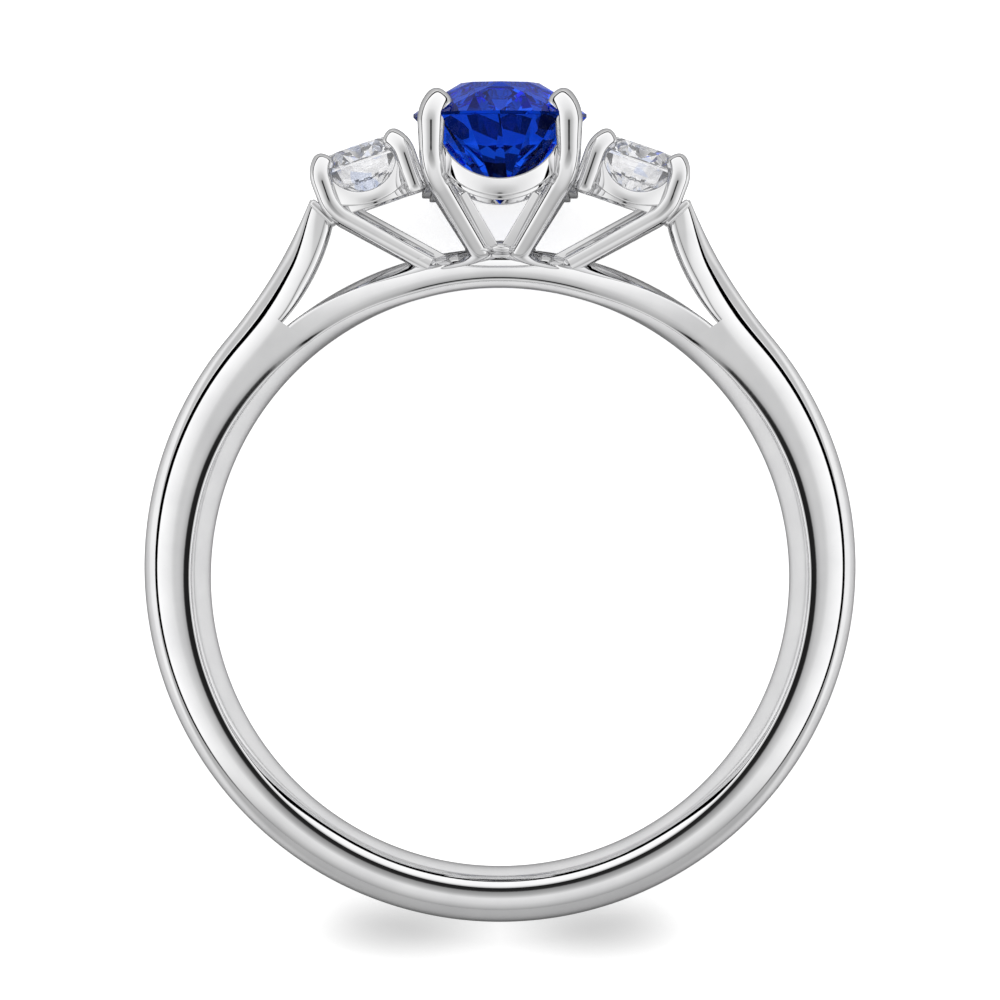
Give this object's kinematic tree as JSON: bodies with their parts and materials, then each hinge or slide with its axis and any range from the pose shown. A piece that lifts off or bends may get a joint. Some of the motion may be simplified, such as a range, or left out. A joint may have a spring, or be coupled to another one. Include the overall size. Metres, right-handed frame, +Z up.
{
  "type": "three stone ring",
  "caption": "Finger ring with a large oval blue stone between two smaller round clear ones, each held by claws on a scalloped basket, on a rounded white metal band that forks below the head.",
  "frame": {"origin": "centre of the finger hole", "axes": "+X across the ring, from the left diamond to the right one; +Y from the palm side of the band to the head; +Z up from the surface that the ring lies on, 6 degrees from the axis of the finger hole"},
  "size_m": [0.021, 0.0247, 0.007],
  "materials": {
    "white_metal": "mirror polish",
    "sapphire": "polished facets",
    "diamond": "polished facets"
  },
  "bodies": {
    "root": {"ring_mount": "white_metal", "centre_sapphire": "sapphire", "left_diamond": "diamond", "right_diamond": "diamond"}
  },
  "joints": []
}
